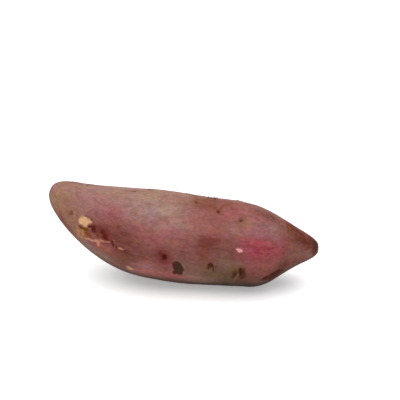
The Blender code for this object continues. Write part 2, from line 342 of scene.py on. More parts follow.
# A narrow mark along a path: a crease where its height is negative, and else a ridge. The
# rows of a layer give width, height, strength and path.
Stroke = namedtuple("Stroke", "layer width height strength path")
STROKE_ENDS = 0.35  # width of a stroke at its two ends, as a share of its full width
STROKE_EDGE = (1.6, 0.3)
STROKE_WOBBLE = 0.35
STROKE_REACH = 3
STROKE_MARGIN = 1
STROKE_ROWS = {
    "umber": (
        (1.3, -0.1, 0.45, ((-59.4, 30.8), (-56.9, 30.2), (-55, 28), (-53.8, 24.6))),
        (0.75, -0.5, 0.85, ((18.7, -4.3), (18.7, -8.9), (18.8, -13.2))),
        (0.7, -0.5, 0.85, ((21.2, -3.6), (21.6, -8.6), (21.7, -13), (21.9, -17))),
        (1.2, -0.1, 0.4, ((20.1, -5), (20.3, -13))),
        (0.6, -0.1, 0.6, ((23.2, -6), (23.3, -12.5))),
        (1.0, -0.9, 1.0, ((38.4, -7.6), (38.3, -13), (38.5, -19.6))),
        (0.9, -0.4, 0.85, ((36, -15.6), (35.4, -18.6), (34.8, -22))),
    ),
    "red": (
        (0.8, -0.5, 1.0, ((-57.6, 14.6), (-56.3, 16.1), (-55, 18))),
        (0.5, -0.2, 0.5, ((-46.8, 0.8), (-44.1, 2.4))),
        (0.8, -0.4, 0.85, ((-41.5, 9.4), (-41.3, 5.7), (-40.5, 0.2))),
        (0.6, -0.2, 0.75, ((-39, 3.6), (-38.4, 0.2))),
        (1.8, -0.1, 0.4, ((55.6, -25), (58.6, -22.4), (62.2, -22.8))),
    ),
    "moss": (
        (1.0, -0.7, 1.0, ((-63.2, 7.6), (-61.7, 5.4), (-59.8, 7.2), (-57.2, 10.2))),
        (0.6, -0.4, 0.5, ((-62.6, -0.6), (-62, -3.4), (-62.4, -7))),
    ),
    "straw": (
        (0.8, 0.4, 0.8, ((-64.9, 3.8), (-64.6, -2.2), (-64.2, -8), (-63.4, -14))),
        (0.7, 0.4, 0.8, ((-61.6, 3.4), (-60.6, 1.7), (-60.8, -3.3), (-61.8, -7))),
        (1.0, 0.3, 0.65, ((-61.8, -12.1), (-59.7, -9.3), (-57.4, -6.8))),
        (0.6, 0.3, 0.4, ((-57.6, 6.8), (-55.2, 3.8), (-52.8, 2))),
        (0.5, 0.3, 0.35, ((-55.4, 9.4), (-53.4, 7.4), (-51.6, 3.4))),
    ),
    "wine": (
        (0.6, -0.2, 0.6, ((-58.4, 3), (-56.6, 1.4), (-54.6, 2.6))),
        (0.9, -0.1, 0.6, ((13.8, 26.4), (18.1, 27.6), (21.8, 28.1), (26, 28.1))),
        (1.2, -0.1, 0.4, ((12.4, 21), (14.4, 19.1), (16.8, 18))),
    ),
    "torn": (
        (0.8, 0.4, 0.75, ((-57.4, -4.8), (-56.2, -5), (-55.2, -5.4), (-52.8, -2.3), (-50.7, 0.6))),
        (0.55, 0.4, 0.65, ((-51.4, 0.4), (-48.7, 2.4), (-46.8, 3.4), (-44.8, 4.2), (-42.5, 6.2))),
        (0.5, 0.2, 0.4, ((-41, 9.6), (-39.8, 10.6), (-38.8, 10.9))),
        (0.6, 0.2, 0.4, ((-42.3, 0.8), (-41.3, 1.4))),
        (1.0, 0.1, 0.45, ((-66.8, 28.5), (-66.4, 23), (-66.3, 17.4))),
    ),
    "flesh": (
        (0.7, 0.3, 0.24, ((37.6, -16), (36.8, -19.6), (35.6, -25), (33.7, -35.3))),
    ),
    "maroon": (
        (1.7, -0.6, 1.0, ((57, -28.4), (59, -29.6), (61, -29), (62.6, -30.4))),
        (1.2, -0.5, 0.7, ((52.6, -32.4), (54, -30.4), (55.4, -32.6), (56.6, -37))),
        (1.1, -0.3, 0.6, ((59, -36), (60.8, -37), (62, -35.4))),
    ),
    "rust": (
        (1.4, -0.1, 0.6, ((23.2, 68.7), (21.8, 73), (18.6, 79))),
        (1.1, -0.15, 0.75, ((23.6, 70.4), (24.6, 76), (26.1, 83.1), (30.6, 88))),
        (1.6, -0.15, 0.75, ((65.6, 88), (66.8, 78.2), (67.4, 67.1), (68.8, 58.9))),
    ),
}
STROKES = tuple(Stroke(layer, *row) for layer, rows in STROKE_ROWS.items() for row in rows)

# Broad shades of the skin. The rows of a layer give x, clock, length and width, which are
# half sizes in mm along and round the root, and strength.
Zone = namedtuple("Zone", "layer x clock length width strength")
ZONE_ROWS = {
    "tan": (
        (-77, 25, 8, 14, 0.6), (-72, 60, 9, 10, 0.5), (-64, 0, 5, 14, 0.55),
        (-71, -18, 8, 10, 0.6),
    ),
    "khaki": (
        (-78.5, 24, 3.5, 7, 0.6), (-40, 84, 14, 5, 0.3), (-12, 86, 16, 7, 0.2),
        (40, 57, 4, 3, 0.25), (54, 94, 12, 4, 0.3), (24, -44, 9, 5, 0.5),
    ),
    "mauve": (
        (-62, 66, 14, 5, 0.5), (-43, 56, 12, 8, 0.6), (-19, 56, 5, 5, 0.4), (-12, 38, 16, 6, 0.5),
        (50, 74, 10, 9, 0.4), (49, 42, 7, 4, 0.95), (-18, -16, 7, 4, 0.25), (-22, -17, 5, 4, 0.7),
    ),
    "magenta": (
        (-43, 50, 9, 6, 0.3), (45.5, 27, 8, 5.5, 1), (54.5, 24, 8, 6, 0.75), (62, 24, 5, 5, 0.3),
        (48, 13, 9, 5, 0.4), (-8.5, -9, 4.5, 3, 0.4), (-4, -30, 5, 3, 0.35),
    ),
    # The wine zone at x -74.5, clock -38 is painted shadow of a neighbouring root on the low stem
    # end.
    "wine": (
        (-44, 36, 13, 6, 0.25), (35, 27, 4, 4, 0.2), (27, 17, 9, 4, 0.25), (-64, -34, 8, 4, 0.4),
        (-9.5, 3, 5, 4.5, 0.6), (-77, -15, 4, 6, 0.4), (-74.5, -38, 4, 9, 0.7),
    ),
    # The grey zone at x -9.5, clock 57 is a painted highlight of the lamp on the upper front.
    "grey": (
        (-26, 56, 8, 7, 0.5), (-9.5, 57, 13, 9, 0.9), (60, 62, 8, 9, 0.3), (74.5, 16, 5, 5, 0.3),
        (-52, -28, 10, 4, 0.3), (-62, -20, 6, 4, 0.4), (0, 92, 13, 5, 0.4), (31, 2, 6, 6, 0.35),
        (2.5, 42, 5, 4, 0.4), (-35, 35, 5, 4, 0.35), (6, 97, 6, 4, 0.4), (82, -8, 3, 4, 0.45),
        (-22, 108, 40, 4.5, 0.8), (26, 108, 16, 4, 0.5), (-49, -24, 6, 3, 0.3),
    ),
    "pink": (
        (-12, 26, 22, 8, 0.3), (2, 50, 14, 6, 0.5), (34, 72, 12, 9, 0.75), (52, -4, 11, 9, 0.4),
        (-49, -6, 8, 3.5, 0.6), (-10, -32, 14, 5, 0.7), (22, 36, 9, 4, 0.5),
        (-22, -33, 7, 4, 0.7), (-28.5, 35, 5, 4, 0.4), (2.5, 42, 5, 4, 0.3),
    ),
    "ochre": (
        (12, 90, 9, 6, 0.7), (18.8, 78.5, 7, 5, 0.6), (28, 90, 6, 4, 0.4), (70.5, 72, 5, 6, 0.55),
        (76, -13, 2.5, 2.2, 0.8), (16, 8, 3, 8, 0.5), (20, -8, 4, 4, 0.3), (-32, -10, 7, 4, 0.5),
        (-66, 6, 5, 7, 0.3),
    ),
    # The brown zones at x 69.5, 75 and 80.5 are painted shadow of a neighbouring root over the
    # tip.
    "brown": (
        (65, 24, 4, 6, 0.4), (54, 11, 9, 4, 0.35), (75, 64, 7, 7, 0.9), (80.5, 50, 5, 6, 0.9),
        (66, -12, 6, 5, 0.5), (63, -26, 5, 4, 0.8), (22, 22.5, 12, 6.5, 0.65),
        (-73, -27, 9, 5, 0.8), (-33, 0, 8, 8, 0.6), (-35, 20, 8, 7, 0.6), (-15, 4, 10, 8, 0.3),
        (53, 83, 11, 6, 0.5), (48, -22, 12, 6, 0.25), (2, 10, 6, 7, 0.35), (-41, 17, 5, 4, 0.5),
        (34, 11, 4, 4, 0.35), (69.5, 92, 5, 5, 0.8), (56.5, 85, 1.5, 1.5, 0.7),
        (32.5, 74, 3, 3, 0.4),
    ),
    "dust_and_light": (
        (43, 38, 6, 3, 0.5), (-68, 18, 5, 6, 0.6), (-81, 55, 6, 14, 0.7), (-66, 34, 7, 7, 0.5),
        (-23, -34, 9, 5, 0.6), (7, -14, 6, 5, 0.4), (35, 46, 9, 5, 0.6), (8, -32, 12, 6, 0.6),
        (18, -42, 12, 6, 0.8), (57.5, 48, 5, 4, 0.35), (-70, 80, 6, 6, 0.35), (39, 73, 5, 5, 0.3),
    ),
    # The umber zone at the tip's end is painted shadow of a neighbouring root.
    "umber": ((84.5, 10, 3.5, 30, 0.75),),
    "olive": (
        (20, -20, 13, 7, 0.5), (30, -27, 7, 6, 0.6), (35, -21, 5, 7, 0.8), (29, 4, 6, 6, 0.4),
        (-50, -26, 12, 5, 0.35), (73, 18, 5, 6, 0.4), (5, -12, 6, 6, 0.3), (33, -4, 4, 4, 0.4),
    ),
}
ZONES = tuple(Zone(layer, *row) for layer, rows in ZONE_ROWS.items() for row in rows)

# Shades of the far side, drawn by chance from these.
FAR_ZONES = 22
FAR_ZONE_LAYERS = ("mauve", "magenta", "pink", "grey", "tan", "khaki", "ochre", "brown", "wine")
FAR_ZONE_SPANS = ((-78, 76), (112, 290), (6, 17), (4, 9))  # of x, clock, length and width
FAR_ZONE_STRENGTH = (0.3, 0.8)
ZONE_SEED = 11

# The broken ends: size and depth in mm. Their edge, stain and rim are places from the pole,
# in sizes.
STEM_SCAR = (2.6, 0.35)
TIP_SCAR = (2.0, 0.2)
SCAR_REACH = 3.5
SCAR_EDGE = (1.1, 0.5)
SCAR_STAIN = (3.0, 0.8)
RIM_PLACE = 1.15
RIM_WIDTH = 0.35
RIM_HEIGHT = 0.35  # as a share of the depth
CORK_SIZE = 1.1  # mm
CORK_HEIGHT = 0.15  # mm
CORK_SEED = 4
WOBBLE_SIZE = 2.6  # mm
WOBBLE_SHARE = 0.4
WOBBLE_SEED = 6
CORK_UMBER = (0.8, 0.7)  # strength inside the edge, and how even it is
CORK_STRAW = (0.35, 0.6)  # the same for the rim
STAIN_STRENGTH = 0.3

# A root hair. Lean turns it from straight out towards the tip, and slant turns it round
# the root, in degrees. Length and thickness are in mm.
Hair = namedtuple("Hair", "x clock length thickness lean slant")
# Ranges that length, thickness, lean and slant are drawn from.
FAR_HAIR = ((1.2, 3.2), (0.09, 0.16), (-70, 70), (-40, 40))
TUFT_HAIR = ((0.9, 1.7), (0.12, 0.2), (-75, 75), (-30, 30))
TIP_HAIR = ((1.2, 2.4), (0.09, 0.15), (55, 85), (-20, 20))
FAR_EYE_HAIRS = 2  # the most in one eye
HAIRY_CLOCK = 225  # beyond this the root lies too near the floor for hairs
TUFT_HAIRS = 26
TUFT_PLACE = (17.0, 101.0)
TUFT_REACH = (3.4, 3.0)
TIP_HAIRS = 9
TIP_PLACE = 84.9
FAR_HAIR_SEED, TIP_HAIR_SEED, TUFT_HAIR_SEED = 8, 9, 10
HAIR_SINK = 0.5  # mm that a hair starts below the skin
HAIR_POINTS = 8
HAIR_SIDES = 5
HAIR_TAPER = 0.25  # its thickness at the end, as a share of that at the root

# Fine relief and the bends of hairs, in metres.
GRAIN = {
    "Wrinkle length": 0.009,
    "Wrinkle width": 0.0022,
    "Wrinkle height": 0.00016,
    "Pimple size": 0.0018,
    "Pimple height": 0.00009,
    "Seed": 3.0,
}
HAIR_WAVES = {"Wave size": 0.0018, "Wave height": 0.0012, "Seed": 2.0}


def linear(colour):
    """Scene colour of a colour given as it looks, from 0 to 255."""
    shares = [c / 255 for c in colour]
    return [s / 12.92 if s <= 0.04045 else ((s + 0.055) / 1.055) ** 2.4 for s in shares] + [1.0]


def add_node(tree, kind, inputs=None, **settings):
    """New node with these settings. An input takes a value, or a socket or node to link."""
    node = tree.nodes.new(kind)
    for name, value in settings.items():
        setattr(node, name, value)
    for key, value in (inputs or {}).items():
        if isinstance(value, bpy.types.Node):
            value = value.outputs[0]
        if isinstance(value, bpy.types.NodeSocket):
            tree.links.new(value, node.inputs[key])
        else:
            node.inputs[key].default_value = value
    return node


def ramp(value, low, high):
    """0 at low and 1 at high, with a smooth step between them."""
    share = np.clip((value - low) / (high - low), 0, 1)
    return share * share * (3 - 2 * share)


def noise_at(points, size, seed=0):
    """Noise from -1 to 1 at each point, with features of about this size in mm."""
    start = Vector([seed * shift for shift in NOISE_SHIFT])
    return np.array([noise.noise(Vector(p) / size + start) for p in points])


def rough_at(points, broad, fine, share, seed):
    """Broad noise at each point, with a share of fine noise."""
    return noise_at(points, broad, seed) + share * noise_at(points, fine, seed + 1)


# The solid's form: where each ring stands along the root, the middle of the section there,
# and how far the skin is from it at each clock angle. The poles close the two ends.
Form = namedtuple("Form", "x middle radius poles")


def ring_places(low, high):
    """Where the rings stand, drawn together towards both ends."""
    share = np.arange(1, RINGS + 1) / (RINGS + 1)
    edge = np.minimum(share, 1 - share)
    along = np.where(edge < END_SHARE, edge**2 / (2 * END_SHARE), edge - END_SHARE / 2)
    along /= 1 - END_SHARE
    return low + (high - low) * np.where(share > 0.5, 1 - along, along)


def cut_at(corners, x):
    """Where the upright plane at x cuts the sides of the solid's faces, as y and z."""
    cuts = []
    for a, b in ((0, 1), (1, 2), (2, 0)):
        start, end = corners[:, a], corners[:, b]
        crossing = (start[:, 0] < x) != (end[:, 0] < x)
        start, end = start[crossing], end[crossing]
        share = (x - start[:, :1]) / (end[:, :1] - start[:, :1])
        cuts.append(start[:, 1:] + (end[:, 1:] - start[:, 1:]) * share)
    return np.concatenate(cuts)


def smooth_rings(values):
    """Values of each ring, averaged with those of its neighbours."""
    reach = MIDDLE_REACH
    padded = np.pad(values, ((reach, reach), (0, 0)), "edge")
    return sum(padded[k : k + len(values)] for k in range(2 * reach + 1)) / (2 * reach + 1)


def blur(grid, reach):
    """The grid blurred over about this many steps, round the root and across both poles."""
    pad = math.ceil(2 * reach)
    weights = np.exp(-((np.arange(-pad, pad + 1) / reach) ** 2))
    weights /= weights.sum()
    beyond = -np.roll(grid, SIDES // 2, axis=1)
    pole = np.zeros((1, SIDES))
    tall = np.concatenate([beyond[pad - 2 :: -1], pole, grid, pole, beyond[: -pad : -1]])
    tall = sum(w * tall[k : k + len(grid)] for k, w in enumerate(weights))
    return sum(w * np.roll(tall, k - pad, axis=1) for k, w in enumerate(weights))


def measure_form():
    """The solid's form with its hollows filled, and how deep the hollows are, ring by ring."""
    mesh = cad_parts[NODE].data
    points = np.empty(len(mesh.vertices) * 3)
    mesh.vertices.foreach_get("co", points)
    order = np.empty(len(mesh.loops), int)
    mesh.loops.foreach_get("vertex_index", order)
    points = points.reshape(-1, 3) / MM
    corners = points[order].reshape(-1, 3, 3)
    poles = points[points[:, 0].argmin()], points[points[:, 0].argmax()]
    x = ring_places(poles[0][0], poles[1][0])
    cuts = [cut_at(corners, place) for place in x]
    middle = smooth_rings(np.array([(cut.min(0) + cut.max(0)) / 2 for cut in cuts]))
    angles = np.radians(CLOCKS)
    radius = []
    for (y, z), cut in zip(middle, cuts):
        across, up = y - cut[:, 0], cut[:, 1] - z
        turns, reaches = np.arctan2(up, across), np.hypot(up, across)
        radius.append(np.interp(angles, turns, reaches, period=math.tau))
    measured = np.array(radius)
    filled = measured
    for _ in range(FILL_ROUNDS):
        filled = np.maximum(filled, blur(filled, FILL_REACH))
    return Form(x, middle, blur(filled, FAIR_REACH), poles), filled - measured


def skin_at(form, x, clock):
    """Point of the form at a place, which may be an array of places."""
    x, clock = np.asarray(x, float), np.asarray(clock, float)
    ring = np.clip(np.interp(x, form.x, np.arange(RINGS)), 0, RINGS - 1.001)
    side = (clock / 360 * SIDES) % SIDES
    i, j = ring.astype(int), side.astype(int)
    s, t = ring - i, side - j
    after = (j + 1) % SIDES
    low = form.radius[i, j] * (1 - t) + form.radius[i, after] * t
    high = form.radius[i + 1, j] * (1 - t) + form.radius[i + 1, after] * t
    reach = low * (1 - s) + high * s
    y = np.interp(x, form.x, form.middle[:, 0])
    z = np.interp(x, form.x, form.middle[:, 1])
    angle = np.radians(clock)
    return np.stack([x, y - reach * np.cos(angle), z + reach * np.sin(angle)], axis=-1)


def form_grid(form):
    """Points of the form, ring by ring."""
    return skin_at(form, np.repeat(form.x[:, None], SIDES, 1), np.repeat(CLOCKS[None], RINGS, 0))


# A spot on the skin with the directions ahead to the tip, round the root and outwards.
Spot = namedtuple("Spot", "middle ahead around outward")


def spot_at(form, x, clock):
    middle = Vector(skin_at(form, x, clock))
    ahead = Vector(skin_at(form, x + SPOT_STEP, clock) - skin_at(form, x - SPOT_STEP, clock))
    around = Vector(skin_at(form, x, clock + SPOT_TURN) - skin_at(form, x, clock - SPOT_TURN))
    ahead.normalize()
    outward = ahead.cross(around).normalized()
    return Spot(middle, ahead, outward.cross(ahead), outward)


class Skin:
    """The skin while it is made: points of the form, their relief and layers of colour."""

    def __init__(self, form, points, outward):
        self.form = form
        self.points = points
        self.outward = outward
        self.x = points[:, 0]
        self.across = points[:, 1] - np.interp(self.x, form.x, form.middle[:, 0])
        self.up = points[:, 2] - np.interp(self.x, form.x, form.middle[:, 1])
        self.clock = np.degrees(np.arctan2(self.up, -self.across))
        self.girth = np.hypot(self.across, self.up)
        self.relief = np.zeros(len(points))
        self.layers = {name: np.zeros(len(points)) for name in LAYERS}

    def near(self, middle, reach):
        """Which points are within this reach of a point, and their offsets from it."""
        offset = self.points - np.array(middle)
        where = np.nonzero((offset**2).sum(1) < reach * reach)[0]
        return where, offset[where]

    def lay(self, layer, where, strength):
        """Adds to a layer of colour, which stays between 0 and 1."""
        values = self.layers[layer]
        values[where] = 1 - (1 - values[where]) * (1 - np.clip(strength, 0, 1))


def press_eye(skin, eye):
    spot = spot_at(skin.form, eye.x, eye.clock)
    where, offset = skin.near(spot.middle, EYE_REACH * max(eye.length, eye.width))
    slant = math.radians(eye.turn)
    ahead, around = offset @ np.array(spot.ahead), offset @ np.array(spot.around)
    u = ahead * math.cos(slant) + around * math.sin(slant)
    v = around * math.cos(slant) - ahead * math.sin(slant)
    far = np.hypot(u / eye.length, v / eye.width)
    rim = LIP_HEIGHT * np.exp(-(((far - LIP_PLACE) / LIP_WIDTH) ** 2))
    rim *= LIP_LEAN - u / eye.length / (far + 1)
    skin.relief[where] += eye.depth * (rim - np.exp(-(far**2)))
    far = np.maximum(far + EYE_WOBBLE * rough_at(skin.points[where], *EYE_ROUGH), 0)
    halo = "wine" if eye.core == "maroon" else "ochre"
    skin.lay(eye.core, where, eye.dark * ramp(far, *EYE_EDGE))
    skin.lay(halo, where, eye.halo * np.exp(-((far / HALO_REACH) ** 2)))
    skin.lay(halo, where, BLUSH_SHARE * eye.dark * np.exp(-((far / BLUSH_REACH) ** 2)))


def depth_inside(u, v, outline):
    """How far each point is from the outline, in mm: positive inside it."""
    nearest = np.full(len(u), np.inf)
    inside = np.zeros(len(u), bool)
    for (start_u, start_v), (end_u, end_v) in zip(outline, np.roll(outline, -1, axis=0)):
        du, dv = end_u - start_u, end_v - start_v
        share = np.clip(((u - start_u) * du + (v - start_v) * dv) / (du * du + dv * dv), 0, 1)
        far = np.hypot(u - start_u - share * du, v - start_v - share * dv)
        nearest = np.minimum(nearest, far)
        spans = (start_v > v) != (end_v > v)
        inside ^= spans & (u < start_u + (v - start_v) * du / (dv or 1e-9))
    return np.where(inside, nearest, -nearest)


def open_patch(skin, patch):
    places = np.array(patch.outline)
    corners = skin_at(skin.form, *places.T)
    spot = spot_at(skin.form, *places.mean(0))
    ahead, around = np.array(spot.ahead), np.array(spot.around)
    sides = corners - np.array(spot.middle)
    outline = np.stack([sides @ ahead, sides @ around], axis=1)
    reach = np.hypot(*outline.T).max() + PATCH_MARGIN
    where, offset = skin.near(spot.middle, reach)
    depth = depth_inside(offset @ ahead, offset @ around, outline)
    depth += PATCH_WOBBLE * rough_at(skin.points[where], *PATCH_ROUGH)
    low, high = (share * patch.soft for share in SINK_EDGE)
    skin.relief[where] -= patch.sink * ramp(depth, low, high + SINK_MORE)
    skin.lay(patch.layer, where, patch.strength * ramp(depth, -patch.soft, patch.soft))


def path_distance(points, path):
    """How far each point is from the path, and how far along the path that is, from 0 to 1."""
    steps = np.diff(path, axis=0)
    lengths = np.linalg.norm(steps, axis=1)
    before = np.concatenate([[0], np.cumsum(lengths)])
    nearest = np.full(len(points), np.inf)
    along = np.zeros(len(points))
    for start, step, length, passed in zip(path, steps, lengths, before):
        offset = points - start
        share = np.clip(offset @ step / length**2, 0, 1)
        far = np.linalg.norm(offset - share[:, None] * step, axis=1)
        along = np.where(far < nearest, (passed + share * length) / before[-1], along)
        nearest = np.minimum(nearest, far)
    return nearest, along


def draw_stroke(skin, stroke):
    path = skin_at(skin.form, *np.array(stroke.path).T)
    middle = path.mean(0)
    reach = np.linalg.norm(path - middle, axis=1).max()
    where, _ = skin.near(middle, reach + STROKE_REACH * stroke.width + STROKE_MARGIN)
    far, along = path_distance(skin.points[where], path)
    width = stroke.width * (STROKE_ENDS + (1 - STROKE_ENDS) * np.sqrt(np.sin(math.pi * along)))
    rough = rough_at(skin.points[where], *STROKE_ROUGH)
    far = np.maximum(far / width + STROKE_WOBBLE * rough, 0)
    skin.relief[where] += stroke.height * np.exp(-(far**2))
    skin.lay(stroke.layer, where, stroke.strength * ramp(far, *STROKE_EDGE))


def shade_zone(skin, zone):
    ahead = (skin.x - zone.x) / zone.length
    turn = (skin.clock - zone.clock + 180) % 360 - 180
    around = np.radians(turn) * skin.girth / zone.width
    skin.lay(zone.layer, slice(None), zone.strength * np.exp(-(ahead**2) - around**2))


def shade_faced(skin, layer, parts):
    """Lays layers by how far the skin faces up: painted shade below, and dust with painted light
    above.
    """
    total = 0
    for strength, facings, *places in parts:
        share = strength * ramp(skin.outward[:, 2], *facings)
        total += share * ramp(skin.x, *places[0]) if places else share
    skin.lay(layer, slice(None), total)


def scar_end(skin, pole, size, depth):
    """A rough, corky end where the root was broken off."""
    where, offset = skin.near(pole, SCAR_REACH * size)
    places = skin.points[where]
    rough = noise_at(places, CORK_SIZE, CORK_SEED)
    far = np.linalg.norm(offset, axis=1) / size
    far += WOBBLE_SHARE * noise_at(places, WOBBLE_SIZE, WOBBLE_SEED) + CORK_HEIGHT * rough
    rim = np.exp(-(((far - RIM_PLACE) / RIM_WIDTH) ** 2))
    inside = ramp(far, *SCAR_EDGE)
    skin.relief[where] += depth * (RIM_HEIGHT * rim - inside) + CORK_HEIGHT * rough * inside
    for layer, part, cork in (("umber", inside, CORK_UMBER), ("straw", rim, CORK_STRAW)):
        strength, even = cork
        skin.lay(layer, where, strength * part * np.clip(even + rough, 0, 1))
    skin.lay("brown", where, STAIN_STRENGTH * ramp(far, *SCAR_STAIN))


def found_eyes(form, hollows):
    """Eyes for the solid's hollows that are clear of every mark named above."""
    draw = random.Random(FOUND_SEED)
    taken = [skin_at(form, eye.x, eye.clock) for eye in EYES]
    for places in [mark.outline for mark in PATCHES] + [mark.path for mark in STROKES]:
        taken.extend(skin_at(form, *np.array(places).T))
    depths = hollows.copy()
    grid = form_grid(form)
    for place in taken:
        depths[np.linalg.norm(grid - place, axis=2) < FOUND_SPACING] = 0
    depths[:, (CLOCKS < FAR_CLOCKS[0]) | (CLOCKS > FAR_CLOCKS[1])] = 0
    depths[(form.x < FAR_PLACES[0]) | (form.x > FAR_PLACES[1])] = 0
    eyes = []
    while depths.max() > FOUND_DEPTH:
        i, j = np.unravel_index(depths.argmax(), depths.shape)
        depth = FOUND_DEEPER * depths[i, j]
        length = draw.uniform(*FOUND_LENGTH)
        width = length * draw.uniform(*FOUND_WIDTH)
        turn, dark, halo = (draw.uniform(*span) for span in (FOUND_TURN, FOUND_DARK, FOUND_HALO))
        core = draw.choice(FOUND_CORES)
        eyes.append(Eye(form.x[i], CLOCKS[j], length, width, turn, depth, dark, halo, core))
        depths[np.linalg.norm(grid - grid[i, j], axis=2) < FOUND_SPACING] = 0
    return eyes


def far_zones():
    """Shades of the far side, drawn by chance."""
    draw = random.Random(ZONE_SEED)
    zones = []
    for _ in range(FAR_ZONES):
        place = [draw.uniform(*span) for span in FAR_ZONE_SPANS]
        layer = draw.choice(FAR_ZONE_LAYERS)
        zones.append(Zone(layer, *place, draw.uniform(*FAR_ZONE_STRENGTH)))
    return zones


def mark_reaches(form, eyes):
    """Where the marks are, as points in mm with the reach of each."""
    reaches = []
    for eye in eyes:
        reach = EYE_FINE * max(eye.length, eye.width)
        reaches.append((skin_at(form, eye.x, eye.clock)[None], reach))
    for patch in PATCHES:
        corners = skin_at(form, *np.array(patch.outline).T)
        reaches.append((np.concatenate([corners, [corners.mean(0)]]), PATCH_FINE))
    for stroke in STROKES:
        places = np.array(stroke.path)
        steps = np.linspace(0, len(places) - 1, STROKE_STEPS * len(places))
        x, clock = (np.interp(steps, np.arange(len(places)), part) for part in places.T)
        reaches.append((skin_at(form, x, clock), STROKE_FINE * stroke.width))
    return reaches


def skin_grid(form, reaches):
    """Mesh of the form in mm, split finer near the marks."""
    points = np.concatenate([[form.poles[0]], form_grid(form).reshape(-1, 3), [form.poles[1]]])
    shell = bmesh.new()
    verts = [shell.verts.new(p) for p in points]
    last = len(verts) - 1
    for j in range(SIDES):
        after = (j + 1) % SIDES
        shell.faces.new([verts[0], verts[1 + j], verts[1 + after]])
        end = last - SIDES
        shell.faces.new([verts[last], verts[end + after], verts[end + j]])
        for low in range(1, end, SIDES):
            high = low + SIDES
            corners = low + j, high + j, high + after, low + after
            shell.faces.new([verts[k] for k in corners])
    for margin in FINE_MARGINS:
        shell.verts.index_update()
        points = np.array([v.co for v in shell.verts])
        near = np.zeros(len(points), bool)
        for places, reach in reaches:
            for place in places:
                near |= np.linalg.norm(points - place, axis=1) < reach + margin
        edges = [e for e in shell.edges if near[e.verts[0].index] and near[e.verts[1].index]]
        bmesh.ops.subdivide_edges(shell, edges=edges, cuts=1, use_grid_fill=True)
    bmesh.ops.triangulate(shell, faces=shell.faces[:])
    shell.normal_update()
    return shell


def new_material(name):
    """A material without nodes, and its tree."""
    material = bpy.data.materials.new(name)
    material.use_nodes = True
    material.node_tree.nodes.clear()
    return material, material.node_tree


def skin_material():
    material, tree = new_material("purple skin")
    add = partial(add_node, tree)
    straight = add("ShaderNodeAttribute", attribute_name="straight").outputs["Vector"]

    def layer(name):
        return add("ShaderNodeAttribute", attribute_name=name).outputs["Fac"]

    def maths(operation, a, b=0.0, c=0.0, **settings):
        return add("ShaderNodeMath", {0: a, 1: b, 2: c}, operation=operation, **settings)

    def step(value, low, high):
        inputs = {"Value": value, "From Min": low, "From Max": high}
        return add("ShaderNodeMapRange", inputs, interpolation_type="SMOOTHSTEP")

    def cloud(across, along, seed, detail=2.0, roughness=0.5, bend=0.0):
        """Noise from 0 to 1, of these sizes in metres round the root and along it."""
        inputs = {
            "Vector": straight,
            "Location": [seed * shift for shift in TEXTURE_SHIFT],
            "Scale": (1 / along, 1 / across, 1 / across),
        }
        inputs = {
            "Vector": add("ShaderNodeMapping", inputs),
            "Scale": 1.0,
            "Detail": detail,
            "Roughness": roughness,
            "Distortion": bend,
        }
        soft = add("ShaderNodeTexNoise", inputs)
        low, high = TEXTURE_RANGE
        return add("ShaderNodeMapRange", {"Value": soft, "From Min": low, "From Max": high})

    def mix(share, under, over, blend="MIX"):
        inputs = {0: share, 6: under, 7: over}
        return add("ShaderNodeMix", inputs, data_type="RGBA", blend_type=blend).outputs[2]

    def wandering(name, texture, amount):
        """A layer whose strength wanders by this share with a texture."""
        gain = maths("MULTIPLY_ADD", texture, 2 * amount, 1 - amount)
        return maths("MULTIPLY", layer(name), gain, use_clamp=True)

    def broken(name, texture, amount, low, high):
        """A layer whose edge is broken up by a texture."""
        shifted = maths("MULTIPLY_ADD", maths("SUBTRACT", texture, 0.5), amount, layer(name))
        return maths("MULTIPLY", step(shifted, low, high), step(layer(name), 0.0, MARK_START))

    textures = {name: cloud(*sizes) for name, sizes in TEXTURES.items()}
    mottle, blotches, streaks = (textures[name] for name in ("mottle", "blotches", "streaks"))

    colour = mix(textures["broad"], linear(ROSE), linear(WINE))
    for name, shade, amount in SHADES:
        texture = streaks if name in STREAKED else blotches
        colour = mix(wandering(name, texture, amount), colour, linear(shade))
    rubbed = mix(streaks, linear(MAGENTA_DEEP), linear(MAGENTA))
    uneven = maths("MULTIPLY", blotches, 1 - MAGENTA_STREAKS)
    uneven = maths("MULTIPLY_ADD", streaks, MAGENTA_STREAKS, uneven)
    colour = mix(wandering("magenta", uneven, MAGENTA_WANDER), colour, rubbed)

    # Every shade wanders in warmth and in redness, with lighter and darker threads.
    cloth = 0.0
    for name, share in CLOTH.items():
        cloth = maths("MULTIPLY_ADD", textures[name], share, cloth)
    woven = step(cloth, *CLOTH_RANGE)
    tints = (textures["warmth"], COOL, WARM), (textures["blush"], PALE, RED), (woven, DARK, LIGHT)
    for tint in tints:
        colour = mix(1.0, colour, mix(*tint), "MULTIPLY")

    speckle_inputs = {"Vector": straight, "Scale": SPECKLES, "Randomness": 1.0}
    speckles = add("ShaderNodeTexVoronoi", speckle_inputs).outputs["Distance"]
    spread = maths("MULTIPLY", step(speckles, *SPECKLE_EDGE), step(mottle, *SPECKLE_MOTTLE))
    colour = mix(maths("MULTIPLY", spread, SPECKLE_STRENGTH), colour, linear(SPECK))
    # Painted shade low on the underside, broken up by the mottle.
    colour = mix(wandering("edge", mottle, EDGE_WANDER), colour, linear(EDGE))

    for name, one, other, amount, low, high in MARKS:
        tint = linear(one) if one == other else mix(textures["waves"], linear(one), linear(other))
        colour = mix(broken(name, textures["grain"], amount, low, high), colour, tint)

    bump = {"Height": cloth, "Strength": BUMP_STRENGTH, "Distance": BUMP_HEIGHT}
    finish = {
        "Base Color": colour,
        "Roughness": maths("MULTIPLY_ADD", mottle, ROUGHNESS_MOTTLE, ROUGHNESS),
        "Normal": add("ShaderNodeBump", bump),
        "Specular IOR Level": SHINE,
    }
    add("ShaderNodeOutputMaterial", {"Surface": add("ShaderNodeBsdfPrincipled", finish)})
    return material


